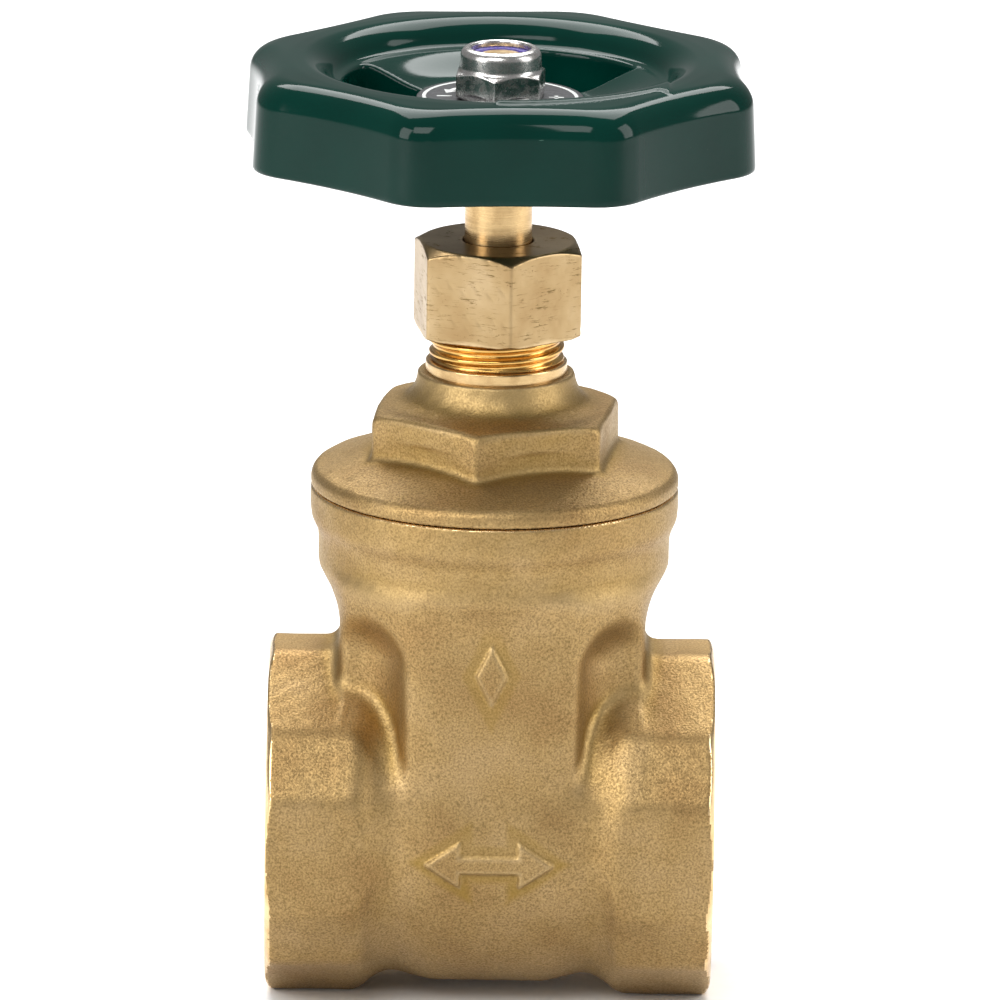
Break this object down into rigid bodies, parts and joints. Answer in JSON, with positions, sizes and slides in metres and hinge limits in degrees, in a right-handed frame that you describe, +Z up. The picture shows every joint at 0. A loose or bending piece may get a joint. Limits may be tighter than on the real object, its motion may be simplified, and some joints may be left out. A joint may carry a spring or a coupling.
{
  "type": "gate valve",
  "caption": "Brass wedge gate valve with female threaded pipe ends, a non-rising stem, a gland nut and a green octagonal handwheel.",
  "frame": {"origin": "on the surface the valve stands on, midway between the two ends, under the stem's axis", "axes": "+Z up along the stem, +X along the flow towards one pipe end, -Y towards the marked face"},
  "size_m": [0.0608, 0.0608, 0.1159],
  "materials": {
    "cast_brass": "shot-blasted casting, matte",
    "turned_brass": "turned, bright",
    "nut_brass": "drawn bar with streaks",
    "green_enamel": "gloss enamel",
    "black_plate": "satin print",
    "nut_steel": "bright",
    "nut_insert": "moulded nylon",
    "gasket_fibre": "compressed fibre",
    "seal_plastic": "plain",
    "packing": "graphite cord"
  },
  "bodies": {
    "valve_body": {"valve_body": "cast_brass", "bonnet": "cast_brass", "bonnet_gasket": "gasket_fibre", "collar_washer": "seal_plastic", "packing_ring_lower": "packing", "packing_ring_middle": "packing", "packing_ring_upper": "packing"},
    "stem": {"stem": "turned_brass", "handwheel": "green_enamel", "nameplate": "black_plate", "lock_nut": "nut_steel", "lock_nut_insert": "nut_insert"},
    "wedge_gate": {"wedge_gate": "cast_brass"},
    "gland_follower": {"gland_follower": "turned_brass"},
    "gland_nut": {"gland_nut": "nut_brass"}
  },
  "joints": [
    {"name": "stem_spin", "type": "hinge", "parent": "valve_body", "child": "stem", "pos_m": [0, 0, 0.0936], "axis": [0, 0, 1], "range_deg": [0, 3120]},
    {"name": "gate_lift", "type": "slide", "parent": "valve_body", "child": "wedge_gate", "axis": [0, 0, 1], "range_m": [0, 0.026]},
    {"name": "gland_nut_turn", "type": "hinge", "parent": "gland_follower", "child": "gland_nut", "pos_m": [0, 0, 0.0868], "axis": [0, 0, 1], "range_deg": [-360, 0]},
    {"name": "gland_slide", "type": "slide", "parent": "valve_body", "child": "gland_follower", "axis": [0, 0, 1], "range_m": [-0.001, 0], "deforming": ["packing_ring_lower", "packing_ring_middle", "packing_ring_upper"]}
  ],
  "couplings": [
    {"joint": "stem_spin", "follows": "gate_lift", "rad_per_m": 2094.4},
    {"joint": "gland_nut_turn", "follows": "gland_slide", "rad_per_m": 6283.2}
  ]
}
